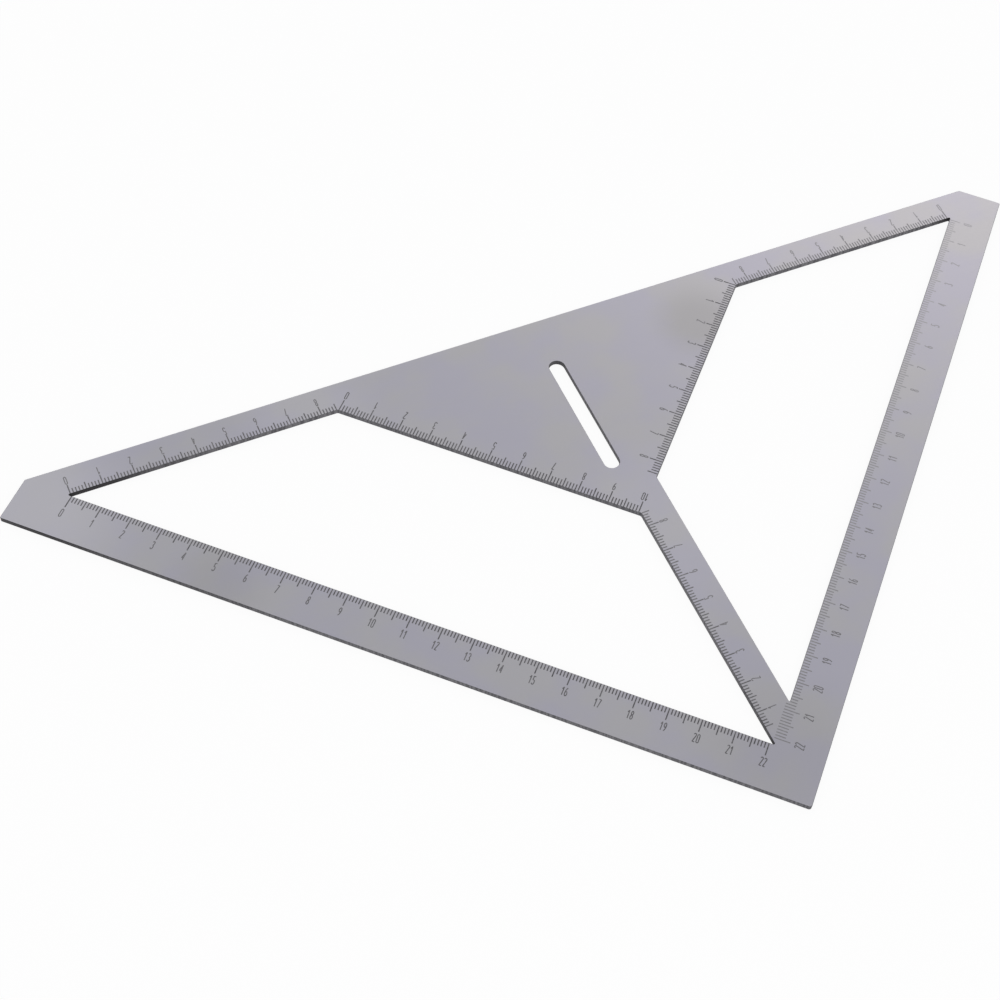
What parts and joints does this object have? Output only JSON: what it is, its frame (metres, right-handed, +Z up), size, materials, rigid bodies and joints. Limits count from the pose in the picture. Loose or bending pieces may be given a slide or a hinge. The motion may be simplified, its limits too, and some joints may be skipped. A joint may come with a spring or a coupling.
{
  "type": "set square",
  "caption": "Flat 45-degree set square cut from steel sheet, with blunted tips, windows either side of an offset bar, a solid web with a round-ended slot, and graduated inner edges.",
  "frame": {"origin": "centre of the plate's bounding box, in the plane of its underside", "axes": "+X along the long side towards the right tip, +Y from the square corner to the long side, +Z up through the sheet, graduated face on top"},
  "size_m": [0.3566, 0.1888, 0.0018],
  "materials": {
    "brushed_stainless": "fine matt brushed stainless steel with dark laser-marked graduations"
  },
  "bodies": {
    "root": {"set_square_plate": "brushed_stainless"}
  },
  "joints": []
}
